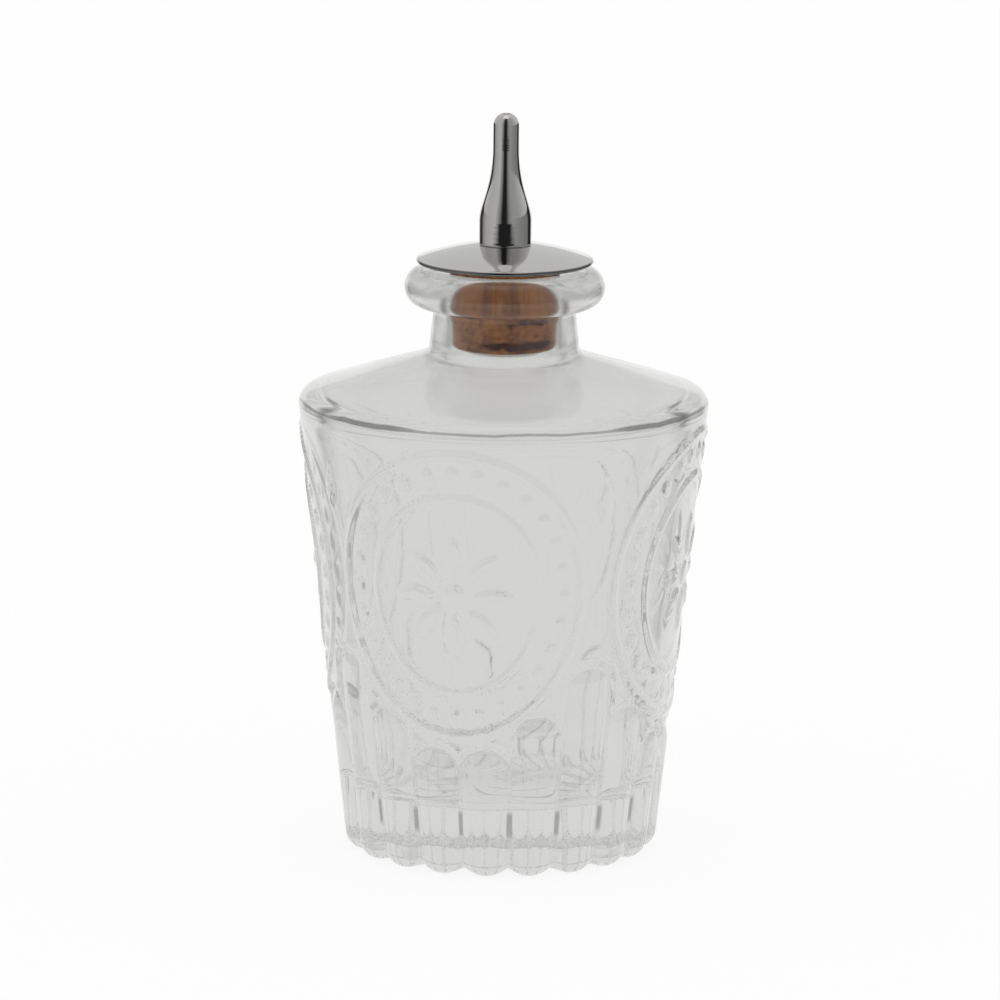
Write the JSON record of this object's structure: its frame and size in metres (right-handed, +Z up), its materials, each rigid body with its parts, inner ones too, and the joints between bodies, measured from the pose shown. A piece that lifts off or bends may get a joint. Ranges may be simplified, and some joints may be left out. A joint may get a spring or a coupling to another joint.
{
  "type": "bitters bottle",
  "caption": "Pressed clear glass bottle, tapered to a reeded foot, with round relief medallions and a cork stopper that carries a polished metal cap and dasher spout.",
  "frame": {"origin": "middle of the flat underside of the glass, on the bottle's axis, at the height of the table", "axes": "+Z runs up the bottle's axis to the spout's tip; -Y faces a medallion, and the other medallions face +X, +Y and -X; +X is to the right of someone who faces the -Y medallion"},
  "size_m": [0.074, 0.074, 0.1339],
  "materials": {
    "clear_glass": "clear pressed glass, fire polished, with soft relief and slight waviness",
    "natural_cork": "natural cork, matt, with darker pores and cracks",
    "polished_metal": "mirror polished chrome plate",
    "plain_steel": "plain turned stainless steel"
  },
  "bodies": {
    "bottle": {"glass_bottle": "clear_glass"},
    "stopper": {"cork_stopper": "natural_cork", "cap_disc": "polished_metal", "dasher_spout": "polished_metal", "drip_tube": "plain_steel", "tube_washer": "plain_steel"}
  },
  "joints": [
    {"name": "stopper_lift", "type": "slide", "parent": "bottle", "child": "stopper", "axis": [0, 0, 1], "range_m": [0, 0.03]}
  ]
}
